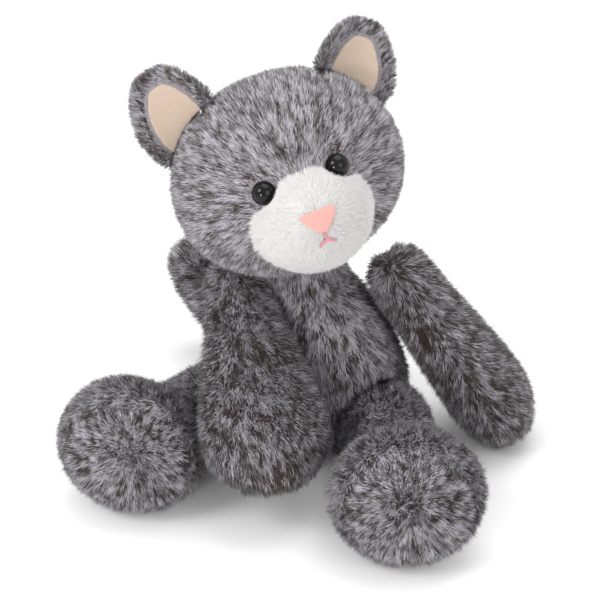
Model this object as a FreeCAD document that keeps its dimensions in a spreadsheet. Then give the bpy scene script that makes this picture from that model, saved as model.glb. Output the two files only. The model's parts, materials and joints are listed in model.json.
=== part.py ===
import FreeCAD, Part

# A seated plush cat: fur panels sewn over stuffed forms, moving at the neck, arms, legs and tail.
#
# Frame: millimetres, +Z up, the face towards -Y, the cat's own left towards +X, the seat on Z = 0.
# A stuffed form is a loft through ellipses.  Its cover is that loft less an inner one, cut along the
# seams into panels, and its stuffing is the inner loft.

import math
import os

import Sketcher
from FreeCAD import Placement, Rotation, Vector

SIZES = [
    # alias, value, what it is
    ("cover", 4.0, "fur fabric: knitted backing and the dense part of its pile"),
    ("muzzle_cover", 3.0, "short white plush on the muzzle"),
    ("socket_gap", 1.5, "slack between a limb's root and the torso's seam round it"),
    ("head_width", 110.0, "across the cheeks"),
    ("head_depth", 93.0, "face to nape"),
    ("head_height", 93.0, "chin to crown"),
    ("head_x", -10.0, "centre of the head"),
    ("head_y", -20.0, "centre of the head"),
    ("head_z", 153.5, "centre of the head"),
    ("head_turn", 23.5, "face turned towards the cat's left, degrees"),
    ("head_nod", 22.0, "face lifted, degrees"),
    ("head_lean", -16.5, "crown leaning towards the cat's right, degrees"),
    ("gusset_half", 19.0, "half width of the forehead strip at the head's middle"),
    ("gusset_flare", 14.0, "angle by which the strip widens towards the ears, degrees"),
    ("chin_level", -14.0, "seam between forehead strip and chin, from the head's middle"),
    ("muzzle_width", 54.0, "white muzzle, side to side"),
    ("muzzle_height", 46.0, "white muzzle, top to bottom"),
    ("muzzle_reach", 60.0, "tip of the muzzle, forward of the head's middle"),
    ("muzzle_length", 46.0, "muzzle form, root to tip"),
    ("muzzle_drop", 20.5, "middle of the muzzle, below the head's middle"),
    ("nose_width", 15.5, "pink nose, side to side"),
    ("nose_height", 9.5, "pink nose, top to bottom"),
    ("nose_drop", 19.0, "middle of the nose, below the head's middle"),
    ("nose_proud", 1.6, "thickness of the padded nose patch"),
    ("mouth_width", 1.1, "embroidered mouth line, across"),
    ("mouth_proud", 0.7, "embroidered mouth line, above the plush"),
    ("eye_radius", 5.6, "black domed safety eye"),
    ("eye_spread", 17.9, "eye from the face's middle line"),
    ("eye_rise", -1.0, "eye above the head's middle"),
    ("eye_sink", 2.0, "eye pressed into the pile"),
    ("shank_radius", 1.6, "shank behind the eye"),
    ("shank_length", 9.0, "shank behind the eye"),
    ("washer_radius", 7.5, "lock washer inside the head"),
    ("washer_thick", 1.4, "lock washer"),
    ("washer_depth", 3.2, "lock washer, behind the eye's back"),
    ("ear_half", 18.0, "half width of the ear"),
    ("ear_arch", 34.0, "radius of the ear's long sides"),
    ("ear_crown", 20.0, "radius of the ear's rounded tip"),
    ("ear_crown_rise", 6.0, "centre of the ear's rounded tip"),
    ("ear_inset", 6.0, "lining inside the ear's edge"),
    ("ear_bend", 24.0, "radius of the ear's cupped back"),
    ("ear_thick", 5.0, "fur fabric at the ear"),
    ("ear_lining", 1.6, "beige suede lining"),
    ("ear_spread_right", 38.0, "right ear's root from the head's middle line"),
    ("ear_spread_left", 43.0, "left ear's root from the head's middle line"),
    ("ear_rise_right", 38.0, "right ear's root above the head's middle"),
    ("ear_rise_left", 30.0, "left ear's root above the head's middle"),
    ("ear_splay_right", 16.0, "right ear leaning outwards, degrees"),
    ("ear_splay_left", 38.0, "left ear leaning outwards, degrees"),
    ("torso_width", 92.0, "across the belly"),
    ("torso_depth", 76.0, "belly to back"),
    ("torso_height", 102.0, "seat to neck"),
    ("torso_lean", -9.0, "neck's shift towards the cat's right"),
    ("torso_bow", -5.0, "neck's shift forward"),
    ("arm_root", 31.0, "width at the shoulder"),
    ("arm_width", 62.0, "paw, broad way"),
    ("arm_depth", 38.0, "paw, thin way"),
    ("arm_tip", 28.0, "rounded end of the paw"),
    ("seat_step", 12.0, "step along the upper arm between the dents it makes in the torso"),
    ("leg_root", 46.0, "thigh, side to side"),
    ("leg_rise", 42.0, "thigh, top to bottom"),
    ("foot_width", 70.0, "foot, side to side"),
    ("foot_height", 67.0, "foot, top to bottom"),
    ("foot_tip", 22.0, "domed end of the foot"),
    ("sole_depth", 11.0, "seam of the sole, back from its tip"),
    ("tail_root", 17.0, "tail where it is sewn on"),
    ("tail_width", 23.0, "tail, across"),
    ("tail_tip", 14.0, "rounded end of the tail"),
    ("pouch_width", 36.0, "cotton pouch of pellets in the seat"),
    ("pouch_height", 18.0, "cotton pouch of pellets in the seat"),
    ("pouch_cloth", 0.8, "cotton of the pouch"),
]

ARM_PATHS = {
    "right": ((-41.4, -9.7, 100.3), (4.6, -98.0, 28.2)),
    "left": ((31, 2, 104), (99, 18, 2.8)),
}
ARM_BROAD = {"right": (-0.93, -0.25, 0.30), "left": (-0.25, 1.0, -0.1)}
LEG_PATHS = {
    "right": ((-29, 2, 0), (-40, -15, 0), (-56, -42, 0), (-67, -72, 0), (-70, -108, 0)),
    "left": ((29, 1, 0), (38, -20, 0), (50, -50, 0), (61, -81, 0), (72, -116, 0)),
}
TAIL_PATH = ((-8, 41, 18), (-50, 57, 13), (-84, 57, 65))
FAR = 150.0

doc = FreeCAD.newDocument("plush_cat")
sheet = doc.addObject("Spreadsheet::Sheet", "Sizes")
for row, (alias, value, words) in enumerate(SIZES, start=1):
    sheet.set(f"A{row}", alias)
    sheet.set(f"B{row}", str(value))
    sheet.set(f"C{row}", words)
    sheet.setAlias(f"B{row}", alias)
doc.recompute()

PARTS = {}


def size(alias):
    return float(sheet.get(alias))


def bind(obj, **expressions):
    """Binds properties of obj to expressions; a double underscore stands for a dot."""
    for prop, text in expressions.items():
        obj.setExpression(prop.replace("__", "."), text)
    return obj


def keep(label, obj):
    """Marks obj as a sub-part and gives it its name."""
    obj.Label = label
    PARTS[label] = obj
    return obj


def facing(origin, along, broad):
    """A Placement whose Z is along, and whose X is the part of broad that is square to it."""
    z = Vector(*along).normalize()
    x = Vector(*broad)
    x = (x - z * x.dot(z)).normalize()
    return Placement(Vector(*origin), Rotation(x, z.cross(x), z, "ZXY"))


def cut(name, base, tool):
    made = doc.addObject("Part::Cut", name)
    made.Base = base
    made.Tool = tool
    return made


def common(name, base, tool):
    made = doc.addObject("Part::Common", name)
    made.Base = base
    made.Tool = tool
    return made


def fuse(name, shapes):
    made = doc.addObject("Part::MultiFuse", name)
    made.Shapes = shapes
    return made


def block(name, low, high, where=Placement()):
    """A box between two corners in the frame of where."""
    made = doc.addObject("Part::Box", name)
    made.Length, made.Width, made.Height = (b - a for a, b in zip(low, high))
    made.Placement = where.multiply(Placement(Vector(*low), Rotation()))
    return made


def cylinder(name, radius, height, where):
    made = doc.addObject("Part::Cylinder", name)
    made.Placement = where
    return bind(made, Radius=radius, Height=height)


def ball(name, radius, centre):
    made = doc.addObject("Part::Sphere", name)
    made.Placement.Base = Vector(*centre)
    return bind(made, Radius=radius)


# --- lofts ---------------------------------------------------------------------------------------


def ring(name, where, half_x, half_y):
    """An ellipse whose longer half is half_x, square to the Z of where."""
    made = doc.addObject("Part::Ellipse", name)
    made.Placement = where
    return bind(made, MajorRadius=half_x, MinorRadius=half_y)


def point(name, at):
    made = doc.addObject("Part::Vertex", name)
    made.X, made.Y, made.Z = at
    return made


def loft(name, sections):
    made = doc.addObject("Part::Loft", name)
    made.Sections = sections
    made.Solid = True
    made.Ruled = False
    return made


def smooth(share):
    """Goes from 0 to 1 with a level start and end."""
    share = min(1.0, max(0.0, share))
    return share * share * (3 - 2 * share)


def mixed(start, end, share):
    """An expression between two aliases."""
    return f"(Sizes.{start} * {1 - share:.4f} + Sizes.{end} * {share:.4f})"


class Limb:
    """A stuffed tube along a path: a ball at its root, an oval end, and a width that changes between."""

    def __init__(self, name, path, broad, root, tip, widths, swell, on_floor=False):
        self.name = name
        self.path = path
        self.broad = broad
        self.root = root / 2
        self.tip = tip
        self.widths = widths
        self.swell = swell
        self.on_floor = on_floor
        self.length = path.Length

    def at(self, s):
        turn = self.path.getParameterByLength(max(0.0, min(self.length, s)))
        return self.path.valueAt(turn), self.path.tangentAt(turn)

    def halves(self, s):
        share = smooth((s / self.length - self.swell[0]) / (self.swell[1] - self.swell[0]))
        return [mixed(a, b, share) + " / 2" for a, b in self.widths]

    def lift(self, s):
        """How far a limb lying on the floor has its middle above the path."""
        if not self.on_floor:
            return 0.0
        share = smooth((s / self.length - self.swell[0]) / (self.swell[1] - self.swell[0]))
        start, end = self.widths[1]
        return (size(start) * (1 - share) + size(end) * share) / 2

    def stations(self, inset):
        """Distances along the path, each with the share of the width that the rounded ends leave."""
        turns = [math.pi / 2 * i / 5 for i in range(1, 6)]
        found = [(inset + (self.root - inset) * (1 - math.cos(a)), math.sin(a)) for a in turns]
        start, end = self.root, self.length - self.tip
        found += [(start + (end - start) * i / 5, 1.0) for i in range(1, 5)]
        found += [(end + (self.tip - inset) * math.cos(a), math.sin(a)) for a in reversed(turns)]
        return found

    def form(self, kind, inset):
        name = f"{self.name}_{kind}"
        depth = f"Sizes.{inset}" if inset else "0"
        inset = size(inset) if inset else 0.0
        sections = []
        for i, (s, share) in enumerate(self.stations(inset)):
            base, along = self.at(s)
            base = base + Vector(0, 0, self.lift(s))
            where = facing(base, along, self.broad)
            wide, thin = [f"({half} - {depth}) * {share:.4f}" for half in self.halves(s)]
            sections.append(ring(f"{name}_{i}", where, wide, thin + " * 0.999"))
        ends = []
        for s in (inset, self.length - inset):
            ends.append(self.at(s)[0] + Vector(0, 0, self.lift(s)))
        first = point(name + "_root", ends[0])
        last = point(name + "_tip", ends[1])
        return loft(name, [first, *sections, last])

    def build(self):
        self.outer = self.form("outer", None)
        self.inner = self.form("inner", "cover")
        self.cover = cut(self.name + "_cover", self.outer, self.inner)
        keep(self.name + "_stuffing", self.inner)
        return self


def split(cover, where, names, low=-FAR, high=2 * FAR):
    """Cuts a cover along the plane of where's X and Z, between two levels of its Z."""
    for name, near, far in ((names[0], 0.0, FAR), (names[1], -FAR, 0.0)):
        tool = block(name + "_side", (-FAR, near, low), (FAR, far, high), where)
        keep(name, common(name + "_panel", cover, tool))


# --- arms, legs and tail --------------------------------------------------------------------------


def make_arm(side):
    start, end = [Vector(*p) for p in ARM_PATHS[side]]
    path = Part.makeLine(start, end)
    widths = (("arm_root", "arm_width"), ("arm_root", "arm_depth"))
    broad = ARM_BROAD[side]
    arm = Limb(f"arm_{side}", path, broad, size("arm_root"), size("arm_tip"), widths, (0.10, 0.80))
    arm.build()
    split(arm.cover, facing(start, end - start, broad), (f"arm_{side}_top", f"arm_{side}_under"))
    return arm


def make_leg(side):
    curve = Part.BSplineCurve()
    curve.interpolate([Vector(*p) for p in LEG_PATHS[side]])
    widths = (("leg_root", "foot_width"), ("leg_rise", "foot_height"))
    path = curve.toShape()
    across = Vector(1, 0, 0)
    leg = Limb(
        f"leg_{side}", path, across, size("leg_root"), size("foot_tip"), widths, (0.44, 0.80), True
    ).build()
    end, along = leg.at(leg.length)
    seam = facing(end, along, across)
    depth = size("sole_depth")
    sole_side = block(f"sole_{side}_side", (-FAR, -FAR, -depth), (FAR, FAR, FAR), seam)
    keep(f"sole_{side}", common(f"sole_{side}_panel", leg.cover, sole_side))
    rest = cut(f"leg_{side}_upper", leg.cover, sole_side)
    hip = leg.at(leg.root)[0]
    middle = facing(hip, end - hip, (0, 0, 1))
    names = (f"leg_{side}_outer", f"leg_{side}_inner")
    split(rest, middle, names if side == "right" else names[::-1], -FAR)
    return leg


def make_tail():
    start, middle, end = [Vector(*p) for p in TAIL_PATH]
    path = Part.Arc(start, middle, end).toShape()
    chord = end - start
    sideways = chord.cross(chord.cross(middle - start))
    widths = (("tail_root", "tail_width"), ("tail_root", "tail_width"))
    tail = Limb("tail", path, sideways, size("tail_root"), size("tail_tip"), widths, (0.1, 0.5)).build()
    split(tail.cover, facing(start, chord, sideways), ("tail_front", "tail_back"))
    return tail


arms = {side: make_arm(side) for side in ARM_PATHS}
legs = {side: make_leg(side) for side in LEG_PATHS}
tail = make_tail()


# --- torso ----------------------------------------------------------------------------------------

TORSO_PROFILE = (
    # share of the height, share of the width left there
    (0.0, 0.82),
    (0.07, 0.94),
    (0.26, 1.0),
    (0.50, 0.92),
    (0.70, 0.76),
    (0.84, 0.57),
    (0.93, 0.39),
    (0.98, 0.22),
)


def torso_form(kind, inset):
    height = size("torso_height")
    depth = f"Sizes.{inset}" if inset else "0"
    inset = size(inset) if inset else 0.0
    sections = []
    for i, (share, left) in enumerate(TORSO_PROFILE):
        z = inset + (height - 2 * inset) * share
        bend = (z / height) ** 2
        where = Placement(Vector(size("torso_lean") * bend, size("torso_bow") * bend, z), Rotation())
        wide = f"(Sizes.torso_width / 2 - {depth}) * {left}"
        deep = f"(Sizes.torso_depth / 2 - {depth}) * {left}"
        sections.append(ring(f"torso_{kind}_{i}", where, wide, deep))
    top = Vector(size("torso_lean"), size("torso_bow"), height - inset)
    return loft(f"torso_{kind}", [*sections, point(f"torso_{kind}_neck", top)])


def arm_seats(arm):
    """Balls along the upper arm, where it lies against the torso: name, middle, half width."""
    for i in range(4):
        s = arm.root + i * size("seat_step")
        yield f"{arm.name}_{i}", arm.at(s)[0], arm.halves(s)[0]


def make_torso():
    roots = [seat for arm in arms.values() for seat in arm_seats(arm)]
    for leg in legs.values():
        middle = leg.at(leg.root)[0] + Vector(0, 0, leg.lift(leg.root))
        roots.append((leg.name, middle, "Sizes.leg_root / 2"))
    roots.append(("tail", tail.at(tail.root)[0], "Sizes.tail_root / 2"))
    wide = []
    tight = []
    for name, centre, half in roots:
        tight.append(ball(f"{name}_seat", f"{half} + Sizes.socket_gap", centre))
        wide.append(ball(f"{name}_seam", f"{half} + Sizes.socket_gap + Sizes.cover", centre))
    outer = cut("torso_skin", torso_form("outer", None), fuse("limb_seats", tight))
    inner = cut("torso_filling", torso_form("inner", "cover"), fuse("limb_seams", wide))
    cover = cut("torso_cover", outer, inner)
    floor = size("cover")
    under = block("seat_side", (-FAR, -FAR, -1), (FAR, FAR, floor))
    keep("seat_panel", common("seat_base", cover, under))
    quarters = {
        "belly_right": (-FAR, -FAR, 0, 0),
        "belly_left": (0, -FAR, FAR, 0),
        "back_right": (-FAR, 0, 0, FAR),
        "back_left": (0, 0, FAR, FAR),
    }
    for name, (x0, y0, x1, y1) in quarters.items():
        tool = block(name + "_side", (x0, y0, floor), (x1, y1, FAR))
        keep(name, common(name + "_panel", cover, tool))
    return inner


def pouch_form(kind, shrink):
    """A flat round bag lying on the seat panel, its rims rounded."""
    low = size("cover") + 1.0 + shrink
    where = Placement(Vector(0, 13, low), Rotation())
    bag = cylinder(
        f"pouch_{kind}_drum", f"Sizes.pouch_width / 2 - {shrink}", f"Sizes.pouch_height - 2 * {shrink}", where
    )
    rounded = doc.addObject("Part::Fillet", f"pouch_{kind}")
    rounded.Base = bag
    doc.recompute()
    rounded.Edges = [(i + 1, 7.0 - shrink, 7.0 - shrink) for i, e in enumerate(bag.Shape.Edges) if e.Closed]
    return rounded


torso_filling = make_torso()
pouch = pouch_form("outer", 0.0)
pellets = pouch_form("inner", size("pouch_cloth"))
keep("torso_stuffing", cut("torso_stuffing_form", torso_filling, pouch))
keep("pellet_pouch", cut("pellet_pouch_bag", pouch, pellets))
keep("seat_pellets", pellets)


# --- head -----------------------------------------------------------------------------------------

HEAD = Placement(
    Vector(size("head_x"), size("head_y"), size("head_z")),
    Rotation(Vector(0, 0, 1), size("head_turn"))
    .multiply(Rotation(Vector(1, 0, 0), -size("head_nod")))
    .multiply(Rotation(Vector(0, 1, 0), size("head_lean"))),
)


def head_form(kind, inset):
    """Sections from chin to crown, fullest at the cheeks."""
    half = size("head_height") / 2
    depth = f"Sizes.{inset}" if inset else "0"
    inset = size(inset) if inset else 0.0
    sections = []
    turns = [math.pi * i / 9 for i in range(1, 9)]
    for i, turn in enumerate(turns):
        level = -(half - inset) * math.cos(turn)
        full = math.sin(turn) ** 0.9
        cheek = full * (1 + 0.04 * math.cos(turn))
        where = HEAD.multiply(Placement(Vector(0, 0, level), Rotation()))
        wide = f"(Sizes.head_width / 2 - {depth}) * {cheek:.4f}"
        deep = f"(Sizes.head_depth / 2 - {depth}) * {full:.4f}"
        sections.append(ring(f"head_{kind}_{i}", where, wide, deep))
    ends = [HEAD.multVec(Vector(0, 0, side * (half - inset))) for side in (-1, 1)]
    chin = point(f"head_{kind}_chin", ends[0])
    crown = point(f"head_{kind}_crown", ends[1])
    return loft(f"head_{kind}", [chin, *sections, crown])


def muzzle_form(kind, inset):
    """Sections from inside the head to the tip of the muzzle; a negative inset grows the form."""
    root = size("muzzle_length") - size("muzzle_reach")
    middle = facing((0, root, -size("muzzle_drop")), (0, -1, 0), (1, 0, 0))
    length = size("muzzle_length")
    sections = []
    turns = [math.pi * i / 8 for i in range(1, 8)]
    for i, turn in enumerate(turns):
        level = inset + (length - 2 * inset) * (1 - math.cos(turn)) / 2
        share = math.sin(turn) ** 0.85
        where = HEAD.multiply(middle).multiply(Placement(Vector(0, 0, level), Rotation()))
        wide = f"(Sizes.muzzle_width / 2 - {inset}) * {share:.4f}"
        tall = f"(Sizes.muzzle_height / 2 - {inset}) * {share:.4f}"
        sections.append(ring(f"muzzle_{kind}_{i}", where, wide, tall))
    ends = [HEAD.multiply(middle).multVec(Vector(0, 0, s)) for s in (inset, length - inset)]
    root_point = point(f"muzzle_{kind}_root", ends[0])
    tip_point = point(f"muzzle_{kind}_tip", ends[1])
    return loft(f"muzzle_{kind}", [root_point, *sections, tip_point])


def revolved(name, where, corners, dome=None):
    """A turned piece: a closed profile of (radius, height) aliases about the body's Z."""
    body = doc.addObject("PartDesign::Body", name)
    plane = next(f for f in body.Origin.OriginFeatures if f.Role == "XZ_Plane")
    sketch = body.newObject("Sketcher::SketchObject", name + "_profile")
    sketch.AttachmentSupport = [(plane, "")]
    sketch.MapMode = "FlatFace"
    spots = [Vector(radius[1], height[1], 0) for radius, height in corners]
    count = len(spots)
    for i in range(count):
        if dome == i:
            whole = Part.Circle(Vector(0, 0, 0), Vector(0, 0, 1), spots[i].x)
            sketch.addGeometry(Part.ArcOfCircle(whole, 0.0, math.pi / 2))
        else:
            sketch.addGeometry(Part.LineSegment(spots[i], spots[(i + 1) % count]))
    for i in range(count):
        sketch.addConstraint(Sketcher.Constraint("Coincident", i, 2, (i + 1) % count, 1))
    if dome is not None:
        sketch.addConstraint(Sketcher.Constraint("Coincident", dome, 3, -1, 1))
    for i, (radius, height) in enumerate(corners):
        if dome is not None and i == (dome + 1) % count:
            sketch.addConstraint(Sketcher.Constraint("PointOnObject", i, 1, -2))
            continue
        for kind, (text, value) in (("DistanceX", radius), ("DistanceY", height)):
            if value == 0:
                axis = -2 if kind == "DistanceX" else -1
                sketch.addConstraint(Sketcher.Constraint("PointOnObject", i, 1, axis))
                continue
            if value > 0:
                row = sketch.addConstraint(Sketcher.Constraint(kind, -1, 1, i, 1, value))
            else:
                row = sketch.addConstraint(Sketcher.Constraint(kind, i, 1, -1, 1, -value))
            sketch.setExpression(f"Constraints[{row}]", text)
    turned = body.newObject("PartDesign::Revolution", name + "_turned")
    turned.Profile = sketch
    turned.ReferenceAxis = (sketch, ["V_Axis"])
    turned.Angle = 360
    body.Tip = turned
    body.Placement = where
    return body


def skin_frame(shape, x, z):
    """The Placement on the face of the head's skin at x, z of the head, its Z pointing outwards."""
    inside = HEAD.multVec(Vector(x, 0, z))
    outside = HEAD.multVec(Vector(x, -FAR, z))
    trace = Part.makeLine(inside, outside).common(shape)
    on_skin = max((v.Point for v in trace.Vertexes), key=lambda p: (p - inside).Length)
    face = min(shape.Faces, key=lambda f: f.distToShape(Part.Vertex(on_skin))[0])
    normal = face.normalAt(*face.Surface.parameter(on_skin))
    if normal.dot(on_skin - HEAD.Base) < 0:
        normal = -normal
    return facing(on_skin, normal, (1, 0, 0))


def make_eye(side, sign, skin):
    """The eye, its washer, and the tools that open the cover and the stuffing for them."""
    where = skin_frame(skin.Shape, sign * size("eye_spread"), size("eye_rise"))
    back = where.multiply(Placement(Vector(0, 0, -size("eye_sink")), Rotation()))
    shank = ("Sizes.shank_radius", size("shank_radius"))
    end = ("Sizes.shank_length", -size("shank_length"))
    dome = ("Sizes.eye_radius", size("eye_radius"))
    level = ("0", 0.0)
    profile = [(level, end), (shank, end), (shank, level), (dome, level), (level, dome)]
    keep(f"eye_{side}", revolved(f"eye_{side}", back, profile, dome=3))
    depth = size("washer_depth") + size("washer_thick")
    held = back.multiply(Placement(Vector(0, 0, -depth), Rotation()))
    bore = ("Sizes.shank_radius + 0.1", size("shank_radius") + 0.1)
    rim = ("Sizes.washer_radius", size("washer_radius"))
    thick = ("Sizes.washer_thick", size("washer_thick"))
    ring_profile = [(bore, level), (rim, level), (rim, thick), (bore, thick)]
    keep(f"eye_washer_{side}", revolved(f"eye_washer_{side}", held, ring_profile))
    hole = back.multiply(Placement(Vector(0, 0, -size("shank_length") - 0.3), Rotation()))
    drill = cylinder(f"eye_hole_{side}", "Sizes.shank_radius + 0.1", "Sizes.shank_length + 2", hole)
    dent = cylinder(f"eye_dent_{side}", "Sizes.eye_radius + 0.2", "Sizes.eye_sink + 6", back)
    low = back.multiply(Placement(Vector(0, 0, -depth - 0.2), Rotation()))
    room = cylinder(
        f"washer_room_{side}", "Sizes.washer_radius + 0.2", "Sizes.washer_thick + Sizes.washer_depth", low
    )
    return drill, dent, room


def arch(name, where, shrink):
    """A rounded gothic arch, extruded along the ear's depth."""
    reach = size("ear_arch") - size("ear_half")
    sides = []
    for sign in (-1, 1):
        spot = where.multiply(facing((sign * reach, 30, 0), (0, -1, 0), (1, 0, 0)))
        hand = "right" if sign < 0 else "left"
        sides.append(cylinder(f"{name}_{hand}", f"Sizes.ear_arch - {shrink}", "60", spot))
    spot = where.multiply(facing((0, 30, size("ear_crown_rise")), (0, -1, 0), (1, 0, 0)))
    crown = cylinder(name + "_crown", f"Sizes.ear_crown - {shrink}", "60", spot)
    crown_low = block(name + "_low", (-40, -30, -30), (40, 30, size("ear_crown_rise")), where)
    pointed = common(name + "_pointed", *sides)
    return common(name, pointed, fuse(name + "_cap", [crown, crown_low]))


def shell(name, where, inner, outer):
    """A tube along the ear, bowed so that its hollow faces forward."""
    axis = where.multiply(Placement(Vector(0, -size("ear_bend"), -30), Rotation()))
    return cut(name, cylinder(name + "_out", outer, "80", axis), cylinder(name + "_in", inner, "80", axis))


def make_ear(side, sign, skull):
    tilt = Rotation(Vector(0, 1, 0), sign * size(f"ear_splay_{side}"))
    turn = Rotation(Vector(0, 0, 1), sign * 12)
    root = Vector(sign * size(f"ear_spread_{side}"), 2, size(f"ear_rise_{side}"))
    where = HEAD.multiply(Placement(root, tilt.multiply(turn)))
    ahead = block(f"ear_front_{side}", (-60, -size("ear_bend"), -40), (60, 40, 60), where)
    fur = shell(f"ear_fur_{side}", where, "Sizes.ear_bend", "Sizes.ear_bend + Sizes.ear_thick")
    suede = shell(f"ear_suede_{side}", where, "Sizes.ear_bend - Sizes.ear_lining", "Sizes.ear_bend")
    layers = (
        (f"ear_back_{side}", fur, 0.0),
        (f"ear_lining_{side}", suede, size("ear_inset")),
    )
    for label, tube, shrink in layers:
        outline = common(label + "_outline", arch(label + "_arch", where, shrink), ahead)
        keep(label, cut(label + "_piece", common(label + "_cup", tube, outline), skull))


def make_nose(grown, muzzle):
    """A padded triangle with its point down."""
    half = size("nose_width") / 2
    tall = size("nose_height")
    top = -size("nose_drop") + tall / 2
    shoulder = (half * 0.93, top - tall * 0.35)
    corners = [(-half, top), (half, top), shoulder, (1.6, top - tall), (-1.6, top - tall)]
    corners.append((-half * 0.93, top - tall * 0.35))
    outline = Part.makePolygon([HEAD.multVec(Vector(x, -40, z)) for x, z in corners + corners[:1]])
    prism = doc.addObject("Part::Feature", "nose_outline")
    prism.Shape = Part.Face(outline).extrude(HEAD.Rotation.multVec(Vector(0, -40, 0)))
    return cut("nose_pad", common("nose_cap", grown, prism), muzzle)


def make_mouth(grown, muzzle, nose):
    """One upright stitch below the nose and a short stroke to each side."""
    half = size("mouth_width") / 2
    top = -size("nose_drop") - size("nose_height") / 2 - 0.3
    strokes = [block("mouth_upright", (-half, -FAR, top - 3.8), (half, -30, top), HEAD)]
    for sign in (-1, 1):
        bend = HEAD.multiply(Placement(Vector(0, 0, top - 3.6), Rotation(Vector(0, 1, 0), sign * 118)))
        strokes.append(block(f"mouth_stroke_{sign + 1}", (-half, -FAR, 0), (half, -30, 4.5), bend))
    lines = fuse("mouth_lines", strokes)
    proud = common("mouth_proud_line", grown, lines)
    return cut("mouth_thread_clear", cut("mouth_thread", proud, muzzle), nose)


def opened(name, form, tools):
    """Clears the shanks and washers out of a stuffing, one tool at a time."""
    for i, (drill, _, room) in enumerate(tools):
        form = cut(f"{name}_bored_{i}", form, drill)
        form = cut(f"{name}_opened_{i}", form, room)
    return form


def make_head():
    skull = head_form("outer", None)
    filling = head_form("inner", "cover")
    muzzle_skin = muzzle_form("outer", 0.0)
    muzzle_filling = muzzle_form("inner", size("muzzle_cover"))
    doc.recompute()
    tools = [make_eye(side, sign, skull) for side, sign in (("right", -1), ("left", 1))]
    holes = fuse("eye_holes", [tool for drill, dent, _ in tools for tool in (drill, dent)])
    whole = cut("head_cover", skull, fuse("head_hollow", [filling, muzzle_skin, holes]))
    between = []
    for name, sign in (("head_side_right", -1), ("head_side_left", 1)):
        tilt = Rotation(Vector(0, 1, 0), sign * size("gusset_flare"))
        seam = HEAD.multiply(Placement(Vector(sign * size("gusset_half"), 0, 0), tilt))
        spans = ((0.0, FAR), (-FAR, 0.0))
        beyond, inside = spans if sign > 0 else spans[::-1]
        tool = block(name + "_side", (beyond[0], -FAR, -FAR), (beyond[1], FAR, FAR), seam)
        keep(name, common(name + "_panel", whole, tool))
        between.append(block(name + "_rest", (inside[0], -FAR, -FAR), (inside[1], FAR, FAR), seam))
    strip = common("head_strip_form", skull, common("head_between", *between))
    for i, tool in enumerate((filling, muzzle_skin, holes)):
        strip = cut(f"head_strip_{i}", strip, tool)
    above = block("forehead_side", (-FAR, -FAR, size("chin_level")), (FAR, FAR, FAR), HEAD)
    keep("forehead_strip", common("forehead_panel", strip, above))
    keep("chin_panel", cut("chin_strip", strip, above))
    keep("head_stuffing", opened("head_filling", filling, tools))
    muzzle_cover = cut("muzzle_cover", cut("muzzle_front", muzzle_skin, filling), muzzle_filling)
    keep("muzzle_panel", cut("muzzle_dented", muzzle_cover, holes))
    muzzle_front = cut("muzzle_filling_front", muzzle_filling, filling)
    keep("muzzle_stuffing", opened("muzzle_filled", muzzle_front, tools))
    nose = make_nose(muzzle_form("nose", -size("nose_proud")), muzzle_skin)
    keep("nose_patch", nose)
    keep("mouth_stitching", make_mouth(muzzle_form("mouth", -size("mouth_proud")), muzzle_skin, nose))
    for side, sign in (("right", -1), ("left", 1)):
        make_ear(side, sign, skull)


make_head()

doc.recompute()
faulty = [o.Name for o in doc.Objects if "Invalid" in o.State or "Error" in o.State]
if faulty:
    raise SystemExit(f"failed: {faulty}")
os.makedirs("parts", exist_ok=True)
for label, obj in PARTS.items():
    shape = obj.Shape
    if shape.isNull() or not shape.isValid() or shape.Volume <= 0:
        raise SystemExit(f"{label} isn't a valid solid")
    shape.exportStep(f"parts/{label}.step")
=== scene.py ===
import json
import math

import bpy
import numpy as np
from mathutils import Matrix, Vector
from mathutils.bvhtree import BVHTree
from mathutils.kdtree import KDTree


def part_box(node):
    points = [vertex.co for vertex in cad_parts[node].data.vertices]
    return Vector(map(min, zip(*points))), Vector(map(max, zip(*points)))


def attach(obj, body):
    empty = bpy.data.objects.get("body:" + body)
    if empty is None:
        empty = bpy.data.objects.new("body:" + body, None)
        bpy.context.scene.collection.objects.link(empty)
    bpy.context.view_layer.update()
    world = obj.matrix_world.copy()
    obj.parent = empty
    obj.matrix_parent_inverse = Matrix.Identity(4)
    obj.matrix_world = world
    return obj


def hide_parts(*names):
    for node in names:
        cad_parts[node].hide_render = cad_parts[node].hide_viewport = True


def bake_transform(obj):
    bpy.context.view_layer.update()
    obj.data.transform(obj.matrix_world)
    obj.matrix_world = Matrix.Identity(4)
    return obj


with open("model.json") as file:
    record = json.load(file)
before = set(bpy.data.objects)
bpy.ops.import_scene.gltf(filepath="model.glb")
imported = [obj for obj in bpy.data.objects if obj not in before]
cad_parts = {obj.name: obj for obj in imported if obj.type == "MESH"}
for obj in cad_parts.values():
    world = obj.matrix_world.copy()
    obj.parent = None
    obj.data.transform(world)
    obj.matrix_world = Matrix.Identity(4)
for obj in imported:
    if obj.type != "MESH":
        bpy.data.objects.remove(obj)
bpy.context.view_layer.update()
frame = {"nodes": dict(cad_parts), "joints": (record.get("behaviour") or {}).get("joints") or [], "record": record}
NODES = frame["nodes"]
RNG = np.random.default_rng(11)
MM = 0.001

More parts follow.
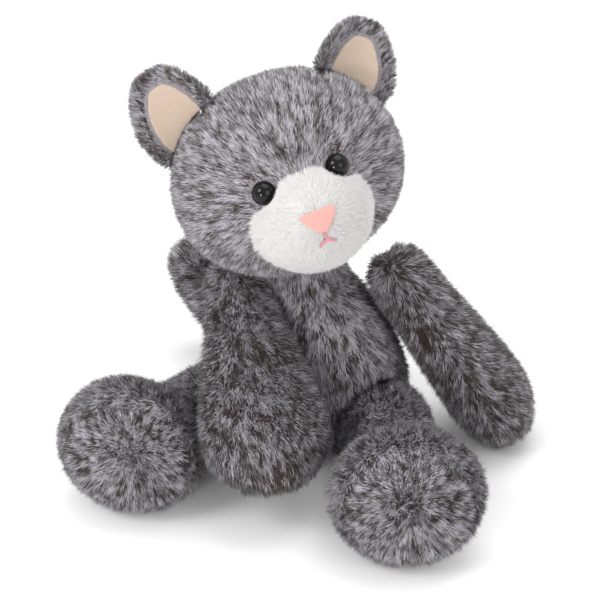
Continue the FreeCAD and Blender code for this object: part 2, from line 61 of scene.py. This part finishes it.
# Sizes are in mm, and shares run from 0 to 1.
COVER_VOXEL, TAIL_VOXEL, EAR_VOXEL = 4.5, 4.2, 1.3
PRESSURE, CLOTH_STEPS, SWELL_CAP = 4.0, 20, 1.6
HELD_WIDTH = 2.0
# The last value here raises the tint of the fur near a seam: painted shade in the seam.
SEAM_WIDTH, SEAM_DEPTH, SEAM_SHADE_TINT = 3.0, 1.3, 0.10
SKIN_FLOOR, STRAND_FLOOR = 0.8, 0.4
QUICK_SHARE, SHORTEST = 0.35, 0.12
NECK_RADIUS, NECK_RISE, NECK_BOW, NECK_FLARE = 18.0, 12.0, 5.0, 0.15
NECK_SIDES, NECK_RINGS = 48, 10
STUFFING_INSET, NOSE_SWELL = 3.4, 0.7


def unit(vectors):
    return vectors / np.maximum(np.linalg.norm(vectors, axis=-1, keepdims=True), 1e-9)


def flatten(vectors, normals):
    """The part of each vector that lies along the skin, as a unit vector."""
    return unit(vectors - normals * np.sum(vectors * normals, axis=1, keepdims=True))


def smoothstep(low, high, value):
    share = np.clip((value - low) / (high - low), 0, 1)
    return share * share * (3 - 2 * share)


def middle(node):
    """The middle of a CAD node's box."""
    low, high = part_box(node)
    return np.array([(a + b) / 2 for a, b in zip(low, high)])


def pivot(body):
    """Where the body's joint is."""
    return np.array(next(joint for joint in frame["joints"] if joint["child"] == body)["pos_m"])


# --- materials ----------------------------------------------------------------------------------


class Shader:
    """A material whose nodes are added one call at a time."""

    def __init__(self, name, roughness, **values):
        self.material = bpy.data.materials.new(name)
        self.material.use_nodes = True
        self.tree = self.material.node_tree
        self.surface = self.tree.nodes["Principled BSDF"]
        self.surface.inputs["Roughness"].default_value = roughness
        for key, value in values.items():
            self.surface.inputs[key.replace("_", " ")].default_value = value

    def math(self, operation, first, second):
        node = self.tree.nodes.new("ShaderNodeMath")
        node.operation = operation
        for socket, value in zip(node.inputs, (first, second)):
            if isinstance(value, (int, float)):
                socket.default_value = value
            else:
                self.tree.links.new(value, socket)
        return node.outputs[0]

    def ramp(self, value, stops):
        node = self.tree.nodes.new("ShaderNodeValToRGB")
        self.tree.links.new(value, node.inputs[0])
        elements = node.color_ramp.elements
        while len(elements) < len(stops):
            elements.new(1.0)
        for element, (place, colour) in zip(elements, stops):
            element.position = place
            element.color = (*colour, 1)
        return node.outputs[0]

    def mix(self, share, first, second):
        node = self.tree.nodes.new("ShaderNodeMix")
        node.data_type = "RGBA"
        for socket, value in ((node.inputs[0], share), (node.inputs[6], first), (node.inputs[7], second)):
            if isinstance(value, tuple):
                socket.default_value = (*value, 1)
            elif isinstance(value, (int, float)):
                socket.default_value = value
            else:
                self.tree.links.new(value, socket)
        return node.outputs[2]

    def noise(self, scale, detail=2.0, where=None):
        node = self.tree.nodes.new("ShaderNodeTexNoise")
        node.inputs["Scale"].default_value = scale
        node.inputs["Detail"].default_value = detail
        if where is None:
            where = self.tree.nodes.new("ShaderNodeTexCoord").outputs["Object"]
        self.tree.links.new(where, node.inputs["Vector"])
        return node.outputs["Fac"]

    def colour(self, output):
        self.tree.links.new(output, self.surface.inputs["Base Color"])
        return self

    def bump(self, height, strength, distance):
        node = self.tree.nodes.new("ShaderNodeBump")
        node.inputs["Strength"].default_value = strength
        node.inputs["Distance"].default_value = distance
        self.tree.links.new(height, node.inputs["Height"])
        self.tree.links.new(node.outputs[0], self.surface.inputs["Normal"])
        return self


# The shaft colour up a strand: the dark low stops are painted shade between the strands, the upper ones the
# lilac-grey fibre.
SHAFT_AND_ROOT_SHADE_STOPS = [
    (0.0, (0.13, 0.115, 0.12)),
    (0.30, (0.33, 0.312, 0.34)),
    (0.60, (0.55, 0.532, 0.585)),
    (1.0, (0.64, 0.622, 0.68)),
]
DARK_TIP = (0.058, 0.042, 0.037)
TIP_SHARE = 0.55
SPECK_SHARE = 0.2


def strand_place(shader):
    """A strand's place in the UV layer, and its two coordinates: its tint, and the height along it."""
    uv_map = shader.tree.nodes.new("ShaderNodeUVMap")
    uv_map.uv_map = "OFBake"
    uv = uv_map.outputs[0]
    split = shader.tree.nodes.new("ShaderNodeSeparateXYZ")
    shader.tree.links.new(uv, split.inputs[0])
    return uv, split.outputs[0], split.outputs[1]


def frosted_fur():
    """Light lilac-grey fibres whose shaft darkens towards the root, painted shade between the strands; the tips
    are dark brown on the tufts with a high tint.
    """
    shader = Shader("frosted_fur", 0.85, Sheen_Weight=0.15, Sheen_Roughness=0.5, Specular_IOR_Level=0.15)
    uv, tint, height = strand_place(shader)
    # The shaft darkens towards the root: painted shade between the strands.
    shaft_and_root_shade = shader.ramp(height, SHAFT_AND_ROOT_SHADE_STOPS)
    speck = shader.math("SUBTRACT", shader.noise(60.0, 1.0, uv), 0.5)
    reach = shader.math("ADD", shader.math("MULTIPLY", height, TIP_SHARE), tint)
    reach = shader.math("ADD", reach, shader.math("MULTIPLY", speck, SPECK_SHARE))
    cover = shader.ramp(shader.math("MULTIPLY", reach, 0.5), [(0.34, (0, 0, 0)), (0.50, (1, 1, 1))])
    return shader.colour(shader.mix(cover, shaft_and_root_shade, DARK_TIP)).material


def plain_fur(name, deep, pale):
    """Fibres that are a little darker at the root, painted shade between the strands; some tufts are darker all
    along.
    """
    shader = Shader(name, 0.85, Sheen_Weight=0.3, Specular_IOR_Level=0.2)
    _, tint, height = strand_place(shader)
    # The shaft darkens from pale to deep towards the root: painted shade between the strands.
    shaft_and_root_shade = shader.ramp(height, [(0.0, deep), (0.45, pale), (1.0, tuple(min(1, c * 1.04) for c in pale))])
    shade = shader.math("MULTIPLY", tint, 0.30)
    return shader.colour(shader.mix(shade, shaft_and_root_shade, deep)).material


def spotted(name, first, second, scale, roughness, bump=0.3, **values):
    """Two colours mixed by a fine noise, which also lifts the surface."""
    shader = Shader(name, roughness, **values)
    grain = shader.noise(scale, 4.0)
    shader.colour(shader.mix(grain, first, second))
    return shader.bump(grain, bump, 0.0004).material


FUR = frosted_fur()
WHITE_FUR = plain_fur("white_fur", (0.56, 0.54, 0.52), (0.83, 0.815, 0.80))
SUEDE = spotted("ear_suede", (0.42, 0.32, 0.25), (0.49, 0.385, 0.31), 900, 0.9, Sheen_Weight=0.4)
VELOUR = spotted("nose_velour", (0.56, 0.255, 0.225), (0.68, 0.34, 0.30), 1400, 0.9, Sheen_Weight=0.5)
THREAD = spotted("mouth_thread", (0.48, 0.15, 0.19), (0.58, 0.22, 0.26), 2200, 0.6)
GLOSS = spotted(
    "eye_gloss", (0.001, 0.001, 0.001), (0.003, 0.002, 0.002), 40, 0.05, 0.0, Specular_IOR_Level=0.30
)
WASHER = spotted("washer_plastic", (0.70, 0.70, 0.68), (0.76, 0.76, 0.74), 300, 0.5)
FIBRE = spotted("stuffing_fibre", (0.78, 0.78, 0.76), (0.88, 0.88, 0.86), 700, 0.95, 1.0)
COTTON = spotted("pouch_cotton", (0.72, 0.69, 0.60), (0.80, 0.77, 0.68), 1800, 0.9)
BEADS = spotted("pellet_beads", (0.55, 0.55, 0.53), (0.75, 0.75, 0.72), 350, 0.4, 1.0)

# --- skins --------------------------------------------------------------------------------------


def mesh_arrays(mesh):
    points = np.empty(len(mesh.vertices) * 3)
    mesh.vertices.foreach_get("co", points)
    mesh.calc_loop_triangles()
    triangles = np.empty(len(mesh.loop_triangles) * 3, dtype=np.int64)
    mesh.loop_triangles.foreach_get("vertices", triangles)
    return points.reshape(-1, 3), triangles.reshape(-1, 3)


def joined(nodes):
    """One new object holding copies of several CAD nodes."""
    spots, faces = [], []
    for name in nodes:
        points, triangles = mesh_arrays(NODES[name].data)
        faces.append(triangles + sum(len(p) for p in spots))
        spots.append(points)
    return new_object("skin", np.concatenate(spots), np.concatenate(faces))


def new_object(name, points, faces):
    mesh = bpy.data.meshes.new(name)
    mesh.from_pydata(points.tolist(), [], faces.tolist())
    piece = bpy.data.objects.new(name, mesh)
    bpy.context.collection.objects.link(piece)
    return piece


def applied(piece):
    """The piece with its modifiers applied, in place."""
    graph = bpy.context.evaluated_depsgraph_get()
    mesh = bpy.data.meshes.new_from_object(piece.evaluated_get(graph))
    piece.modifiers.clear()
    piece.data = mesh
    return piece


def remeshed(piece, voxel):
    remesh = piece.modifiers.new("remesh", "REMESH")
    remesh.mode = "VOXEL"
    remesh.voxel_size = voxel
    return applied(piece)


def swollen(piece, trees):
    """Cloth under pressure, held at the seams between panels, with each point's move capped."""
    old, _ = mesh_arrays(piece.data)
    held = piece.vertex_groups.new(name="seams")
    if len(trees) > 1:
        gaps = np.sort(distances(old, trees), axis=1)
        near = np.flatnonzero(gaps[:, 1] - gaps[:, 0] < HELD_WIDTH * MM)
        held.add(near.tolist(), 1.0, "REPLACE")
    cloth = piece.modifiers.new("swell", "CLOTH")
    cloth.settings.use_pressure = True
    cloth.settings.uniform_pressure_force = PRESSURE
    cloth.settings.vertex_group_mass = "seams"
    cloth.settings.effector_weights.gravity = 0.0
    for step in range(1, CLOTH_STEPS + 1):
        bpy.context.scene.frame_set(step)
    applied(piece)
    new, _ = mesh_arrays(piece.data)
    move = np.nan_to_num(new - old)
    far = np.linalg.norm(move, axis=1, keepdims=True)
    capped = old + move * np.minimum(1, SWELL_CAP * MM / np.maximum(far, 1e-9))
    piece.data.vertices.foreach_set("co", capped.ravel())
    bpy.context.scene.frame_set(1)
    return piece


def rounded_skin(nodes, voxel, rounds, seamed=()):
    """One closed skin round several CAD nodes, as points, triangles and point normals.

    The skin swells and is divided once where seamed names the panels that are sewn together.
    """
    piece = remeshed(joined(nodes), voxel)
    if seamed:
        swollen(piece, [tree_of(name) for name in seamed])
    soften = piece.modifiers.new("soften", "SMOOTH")
    soften.factor = 0.5
    soften.iterations = rounds
    if seamed:
        piece.modifiers.new("divide", "SUBSURF").levels = 1
    points, triangles = mesh_arrays(applied(piece).data)
    bpy.data.objects.remove(piece)
    return points, triangles, point_normals(points, triangles)


def point_normals(points, triangles):
    a, b, c = (points[triangles[:, i]] for i in range(3))
    flat = np.cross(b - a, c - a)
    normals = np.zeros_like(points)
    for i in range(3):
        np.add.at(normals, triangles[:, i], flat)
    return unit(normals)


def tree_of(node):
    points, triangles = mesh_arrays(NODES[node].data)
    return BVHTree.FromPolygons(points.tolist(), triangles.tolist())


def distances(points, trees):
    """How far each point is from each tree, one column per tree."""
    found = np.empty((len(points), len(trees)))
    for row, spot in enumerate(points):
        for column, tree in enumerate(trees):
            found[row, column] = tree.find_nearest(spot)[3]
    return found


# --- strands ------------------------------------------------------------------------------------


def at_places(values, corners, weights):
    """Values of the points, mixed by weight at a place in each triangle."""
    shape = (len(weights), 3) + (1,) * (values.ndim - 1)
    return np.sum(values[corners] * weights.reshape(shape), axis=1)


def scatter(points, triangles, per_mm2):
    """Random places on the skin: the triangle of each and its three weights."""
    a, b, c = (points[triangles[:, i]] for i in range(3))
    areas = np.linalg.norm(np.cross(b - a, c - a), axis=1) / 2
    count = int(areas.sum() * 1e6 * per_mm2)
    chosen = RNG.choice(len(triangles), count, p=areas / areas.sum())
    first, second = RNG.random(count), RNG.random(count)
    over = first + second > 1
    first[over], second[over] = 1 - first[over], 1 - second[over]
    return chosen, np.stack([1 - first - second, first, second], axis=1)


TUFT_SHARE, OWN_SHARE = 0.78, 0.22


def tufts(roots, tips, flow, coat):
    """The tips, drawn together in tufts, and a tint that changes from tuft to tuft, in streaks."""
    centres = RNG.choice(len(roots), max(1, len(roots) // coat.tuft), replace=False)
    tree = KDTree(len(centres))
    for i, index in enumerate(centres):
        tree.insert(roots[index], i)
    tree.balance()
    owner = centres[np.array([tree.find(spot)[1] for spot in roots])]
    along = RNG.uniform(-coat.streak, coat.streak, len(roots))[:, None] * MM
    streak = np.array([tree.find(spot)[1] for spot in roots + flow * along])
    tint = RNG.random(len(centres))[streak]
    drawn = tips + (tips[owner] - tips) * coat.pull
    return drawn, TUFT_SHARE * tint + OWN_SHARE * RNG.random(len(roots))


STRAND_TURNS = [0, 2 * math.pi / 3, 4 * math.pi / 3]
STRAY, LIE_SPREAD, MOST_LIE = 0.15, 0.10, 0.95
LENGTH_SPREAD = (0.78, 1.12)
SHADE_LEAN, SHADE_SPREAD = 0.30, 0.07


class Coat:
    """How a pile looks: strands per mm2, length and width in mm, how far it lies over, and its tint.

    A tuft has that many strands, and pull draws its tips together.  sink is how deep the skin lies
    below the CAD surface and streak how far the tint wanders, both in mm.  rim is the share of the
    length that is left at a seam.
    """

    def __init__(self, density, length, width, lie, tint, tuft=8, pull=0.35, sink=2.6, streak=1.5, rim=0.6):
        self.density = density
        self.length = length
        self.width = width
        self.lie = lie
        self.tint = tint
        self.tuft = tuft
        self.pull = pull
        self.sink = sink
        self.streak = streak
        self.rim = rim


def grow(roots, normals, groom, coat, length, tint):
    """Closed three-sided strands, each with its four points, its shading direction and its tint."""
    count = len(roots)
    stray = RNG.normal(0, STRAY, (count, 3))
    lie = np.clip(coat.lie + RNG.normal(0, LIE_SPREAD, count), 0, MOST_LIE)[:, None]
    lean = unit(normals * (1 - lie) + groom * lie + stray)
    reach = (coat.length * MM * length * RNG.uniform(*LENGTH_SPREAD, count))[:, None]
    tips, tuft_tint = tufts(roots, roots + lean * reach, groom, coat)
    tint = tint + tuft_tint
    along = unit(tips - roots)
    across = unit(np.cross(along, RNG.normal(0, 1, (count, 3))))
    side = np.cross(along, across)
    corners = [across * math.cos(turn) + side * math.sin(turn) for turn in STRAND_TURNS]
    points = np.stack([*(roots + corner * coat.width * MM / 2 for corner in corners), tips], axis=1)
    points[:, :, 2] = np.maximum(points[:, :, 2], STRAND_FLOOR * MM)
    shade = unit(normals + along * SHADE_LEAN + RNG.normal(0, SHADE_SPREAD, (count, 3)))
    return points, shade, np.clip(tint, 0.01, 0.99)


def furry_mesh(name, points, triangles, normals, strands, shades, tints, material):
    """One mesh that holds a skin and its strands, with tint and height in its UV layer."""
    used, packed = np.unique(triangles, return_inverse=True)
    packed = packed.reshape(-1, 3)
    skin_points, skin_normals = points[used], normals[used]
    count = len(strands)
    base = len(used) + 4 * np.arange(count)[:, None]
    sides = base + np.array([[0, 1, 3, 1, 2, 3, 2, 0, 3]])
    corners = np.concatenate([packed.ravel(), sides.ravel()])
    faces = len(corners) // 3
    mesh = bpy.data.meshes.new(name)
    mesh.vertices.add(len(used) + 4 * count)
    mesh.vertices.foreach_set("co", np.concatenate([skin_points, strands.reshape(-1, 3)]).ravel())
    mesh.loops.add(len(corners))
    mesh.loops.foreach_set("vertex_index", corners)
    mesh.polygons.add(faces)
    mesh.polygons.foreach_set("loop_start", 3 * np.arange(faces))
    mesh.polygons.foreach_set("loop_total", np.full(faces, 3))
    mesh.polygons.foreach_set("use_smooth", np.ones(faces, dtype=bool))
    mesh.update()
    layer = mesh.uv_layers.new(name="OFBake")
    on_skin = len(packed) * 3
    # The skin takes the dark low end of the strand colour: painted shade in the gaps between the strands.
    skin_uv = np.stack([RNG.uniform(0.2, 0.8, on_skin), RNG.uniform(0.15, 0.25, on_skin)], axis=1)
    strand_uv = np.stack([np.repeat(tints, 9), np.tile([0.08, 0.08, 0.98], 3 * count)], axis=1)
    layer.data.foreach_set("uv", np.concatenate([skin_uv, strand_uv]).ravel())
    shading = np.concatenate([skin_normals, np.repeat(shades, 4, axis=0)])
    mesh.normals_split_custom_set_from_vertices(shading.tolist())
    mesh.materials.append(material)
    piece = bpy.data.objects.new(name, mesh)
    bpy.context.collection.objects.link(piece)
    return piece


# --- grooming -----------------------------------------------------------------------------------

NOSE = middle("nose_patch")


def away_from(spot):
    """A groom that lays the fur away from a place."""
    return lambda points: points - spot


def towards(direction):
    """A groom that lays all the fur one way."""
    return lambda points: np.tile(np.array(direction, float), (len(points), 1))


def bare(points, nodes, near, far):
    """0 up to near from some nodes, rising to 1 at far; both are in mm."""
    gaps = distances(points, [tree_of(name) for name in nodes]).min(axis=1)
    return smoothstep(near * MM, far * MM, gaps)


def furred(panels, filling, body, coats, groom, voxel=COVER_VOXEL, rounds=3, sewn=True, mask=None):
    """Covers one body's panels with fur.  coats and groom hold an entry per panel."""
    seamed = panels if sewn else ()
    points, triangles, normals = rounded_skin([*panels, *filling], voxel * MM, rounds, seamed)
    gaps = distances(points, [tree_of(name) for name in panels])
    order = np.sort(gaps, axis=1)
    seam_gap = order[:, 1] - order[:, 0] if len(panels) > 1 else np.full(len(points), 1.0)
    at_seam = 1 - smoothstep(0.0, SEAM_WIDTH * MM, seam_gap)
    clear = 1 - at_seam
    owner = gaps[triangles].mean(axis=1).argmin(axis=1)
    for index, name in enumerate(panels):
        coat = coats[name]
        mine = triangles[owner == index]
        skin = points - normals * (coat.sink + SEAM_DEPTH * (1 - clear))[:, None] * MM
        skin[:, 2] = np.maximum(skin[:, 2], SKIN_FLOOR * MM)
        chosen, weights = scatter(skin, mine, coat.density * (1.0))
        corners = mine[chosen]
        roots = at_places(skin, corners, weights)
        directions = unit(at_places(normals, corners, weights))
        clearance = at_places(clear, corners, weights)
        length = coat.rim + (1 - coat.rim) * clearance
        if mask:
            length = length * mask(roots)
        keep = length > SHORTEST
        roots, directions, length = roots[keep], directions[keep], length[keep]
        flow = flatten(groom[name](roots), directions)
        # Fur near a seam gets a higher tint, so darker tips: painted shade in the seam.
        tint = coat.tint + SEAM_SHADE_TINT * (1 - clearance[keep])
        strands, shades, tints = grow(roots, directions, flow, coat, length, tint)
        material = WHITE_FUR if name == "muzzle_panel" else FUR
        piece = furry_mesh(name + "_fur", skin, mine, normals, strands, shades, tints, material)
        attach(piece, body)
        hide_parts(name)


def same(names, value):
    return {name: value for name in names}


ARM = Coat(3.6, 7.2, 0.54, 0.52, 0.13)
LEG = Coat(3.6, 7.0, 0.54, 0.56, -0.02)
SOLE = Coat(3.8, 6.0, 0.52, 0.34, 0.0, streak=1.2, rim=0.8)
BODY = Coat(3.6, 7.4, 0.54, 0.56, 0.0)
HEAD = Coat(4.6, 5.8, 0.48, 0.62, -0.04, streak=2.0)
EAR = Coat(5.4, 5.0, 0.44, 0.50, 0.08, sink=0.4)
TAIL = Coat(3.8, 8.6, 0.52, 0.46, 0.04)
MUZZLE = Coat(8.0, 3.8, 0.42, 0.60, 0.0, pull=0.20, sink=1.2, rim=1.15)


def make_limbs():
    for side in ("right", "left"):
        arm, leg, sole = f"arm_{side}", f"leg_{side}", f"sole_{side}"
        names = [f"{arm}_top", f"{arm}_under"]
        along = middle(f"{arm}_stuffing") - pivot(arm)
        furred(names, [f"{arm}_stuffing"], arm, same(names, ARM), same(names, towards(along)))
        names = [f"{leg}_outer", f"{leg}_inner", sole]
        along = middle(sole) - pivot(leg)
        coats = same(names, LEG) | {sole: SOLE}
        groom = same(names, towards(along)) | {sole: away_from(middle(sole))}
        furred(names, [f"{leg}_stuffing"], leg, coats, groom)


def make_torso():
    names = ["belly_right", "belly_left", "back_right", "back_left", "seat_panel"]
    groom = same(names, towards((0, -0.15, -1)))
    furred(names, ["torso_stuffing"], "torso", same(names, BODY), groom)


def make_tail():
    names = ["tail_front", "tail_back"]
    groom = same(names, away_from(pivot("tail")))
    furred(names, ["tail_stuffing"], "tail", same(names, TAIL), groom, TAIL_VOXEL)


def make_neck():
    """The short furred tube where the head is sewn on, between the torso and the head."""
    centre = pivot("head")
    turns = np.linspace(0, 2 * math.pi, NECK_SIDES, endpoint=False)
    rings = []
    for share in np.linspace(-1, 1, NECK_RINGS):
        ring_centre = centre + np.array([0, -NECK_BOW * share, NECK_RISE * share]) * MM
        radius = NECK_RADIUS * (1 + NECK_FLARE * share * share) * MM
        rings.append(ring_centre + radius * np.stack([np.cos(turns), np.sin(turns), 0 * turns], axis=1))
    points = np.concatenate(rings)
    here = np.arange(NECK_SIDES * (NECK_RINGS - 1)).reshape(-1, NECK_SIDES)
    beside = np.roll(here, -1, axis=1)
    above, corner = here + NECK_SIDES, beside + NECK_SIDES
    triangles = np.concatenate([np.stack([here, beside, corner], -1), np.stack([here, corner, above], -1)])
    triangles = triangles.reshape(-1, 3)
    normals = point_normals(points, triangles)
    chosen, weights = scatter(points, triangles, BODY.density)
    corners = triangles[chosen]
    roots = at_places(points, corners, weights)
    directions = unit(at_places(normals, corners, weights))
    flow = flatten(towards((0, 0, -1))(roots), directions)
    strands, shades, tints = grow(roots, directions, flow, BODY, np.ones(len(roots)), BODY.tint)
    piece = furry_mesh("neck_fur", points, triangles, normals, strands, shades, tints, FUR)
    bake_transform(piece)


def face_mask(points):
    """The share of its length that a strand keeps near the eyes, the nose and the mouth."""
    eyes = bare(points, ["eye_left", "eye_right"], 0.3, 4.5)
    nose = bare(points, ["nose_patch"], 0.2, 2.5)
    mouth = bare(points, ["mouth_stitching"], 0.2, 2.0)
    return np.minimum(np.minimum(eyes, nose), mouth)


def make_head():
    names = ["head_side_right", "head_side_left", "forehead_strip", "chin_panel", "muzzle_panel"]
    filling = ["head_stuffing", "muzzle_stuffing"]
    coats = same(names, HEAD) | {"muzzle_panel": MUZZLE}
    furred(names, filling, "head", coats, same(names, away_from(NOSE)), mask=face_mask)
    for side in ("right", "left"):
        back, lining = f"ear_back_{side}", f"ear_lining_{side}"
        groom = {back: away_from(middle("head_stuffing"))}
        mask = clear_of(lining)
        furred([back], [lining], "head", {back: EAR}, groom, EAR_VOXEL, 4, False, mask)


def clear_of(lining):
    """A mask that keeps the strands off an ear's lining."""
    tree = tree_of(lining)
    return lambda points: smoothstep(0.8 * MM, 3.0 * MM, distances(points, [tree])[:, 0])


def soft_copy(node, body, material, voxel, rounds, inset=0.0):
    """A rounded copy of a soft piece, drawn in by an inset in mm."""
    points, triangles, normals = rounded_skin([node], voxel * MM, rounds)
    points = points - normals * inset * MM
    piece = new_object(node + "_soft", points, triangles)
    piece.data.polygons.foreach_set("use_smooth", [True] * len(triangles))
    piece.data.materials.append(material)
    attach(piece, body)
    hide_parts(node)
    return piece


FIBRE_VOXEL, FIBRE_ROUNDS = 3.0, 6
LINING_VOXEL, LINING_ROUNDS = 0.8, 4
NOSE_VOXEL, NOSE_ROUNDS = 0.45, 60


def make_stuffings():
    """The filling sits a little deeper than in the CAD, clear of the backing of the fur."""
    for body, members in frame["record"]["behaviour"]["bodies"].items():
        for name in members:
            if name.endswith("_stuffing"):
                piece = soft_copy(name, body, FIBRE, FIBRE_VOXEL, FIBRE_ROUNDS, STUFFING_INSET)


def make_small_pieces():
    for side in ("right", "left"):
        soft_copy(f"ear_lining_{side}", "head", SUEDE, LINING_VOXEL, LINING_ROUNDS)
        paint(f"eye_{side}", GLOSS)
        paint(f"eye_washer_{side}", WASHER)
    nose = soft_copy("nose_patch", "head", VELOUR, NOSE_VOXEL, NOSE_ROUNDS, -NOSE_SWELL)
    paint("mouth_stitching", THREAD)
    paint("pellet_pouch", COTTON)
    paint("seat_pellets", BEADS)


def paint(node, material):
    mesh = NODES[node].data
    mesh.materials.clear()
    mesh.materials.append(material)


# --- stage --------------------------------------------------------------------------------------

AZIMUTH, ELEVATION = math.radians(14), math.radians(29)
LEVEL = math.cos(ELEVATION)
BACK = Vector((math.sin(AZIMUTH) * LEVEL, -math.cos(AZIMUTH) * LEVEL, math.sin(ELEVATION)))
CAMERA_AIM, CAMERA_DISTANCE = Vector((0, 0, 0.095)), 0.95
LENS, LENS_SHIFT = 117.4, (-0.030, -0.061)
LAMP_AIM = Vector((0, -0.02, 0.1))
WORLD_STRENGTH = 0.9
LAMPS = [  # name, place and size in metres, watts
    ("key", (-0.9, -1.0, 1.3), 0.7, 11),
    ("spark", (-0.30, -1.35, 0.35), 0.22, 5),
    ("fill", (1.1, -0.9, 0.8), 0.9, 5),
    ("top", (0.1, 0.3, 1.6), 1.2, 9),
]


def area_light(name, place, size, watts):
    lamp = bpy.data.lights.new(name, "AREA")
    lamp.size = size
    lamp.energy = watts
    holder = bpy.data.objects.new(name, lamp)
    holder.location = place
    holder.rotation_euler = (LAMP_AIM - Vector(place)).to_track_quat("-Z", "Y").to_euler()
    bpy.context.collection.objects.link(holder)


def make_floor():
    bpy.ops.mesh.primitive_plane_add(size=6)
    floor = bpy.context.object
    floor.name = "floor"
    floor.data.materials.append(spotted("floor_white", (0.93, 0.93, 0.93), (0.95, 0.95, 0.95), 3, 0.9, 0.0))


def make_world():
    world = bpy.data.worlds.new("studio")
    world.use_nodes = True
    background = world.node_tree.nodes["Background"]
    background.inputs[0].default_value = (1, 1, 1, 1)
    background.inputs[1].default_value = WORLD_STRENGTH
    bpy.context.scene.world = world


def make_camera():
    lens = bpy.data.cameras.new("camera")
    lens.lens = LENS
    lens.shift_x, lens.shift_y = LENS_SHIFT
    camera = bpy.data.objects.new("camera", lens)
    camera.location = CAMERA_AIM + BACK * CAMERA_DISTANCE
    camera.rotation_euler = BACK.to_track_quat("Z", "Y").to_euler()
    bpy.context.collection.objects.link(camera)
    bpy.context.scene.camera = camera


def make_stage():
    make_floor()
    make_world()
    for lamp in LAMPS:
        area_light(*lamp)
    make_camera()
    bpy.context.scene.view_settings.view_transform = "Standard"


make_limbs()
make_torso()
make_tail()
make_head()
make_neck()
make_stuffings()
make_small_pieces()
make_stage()
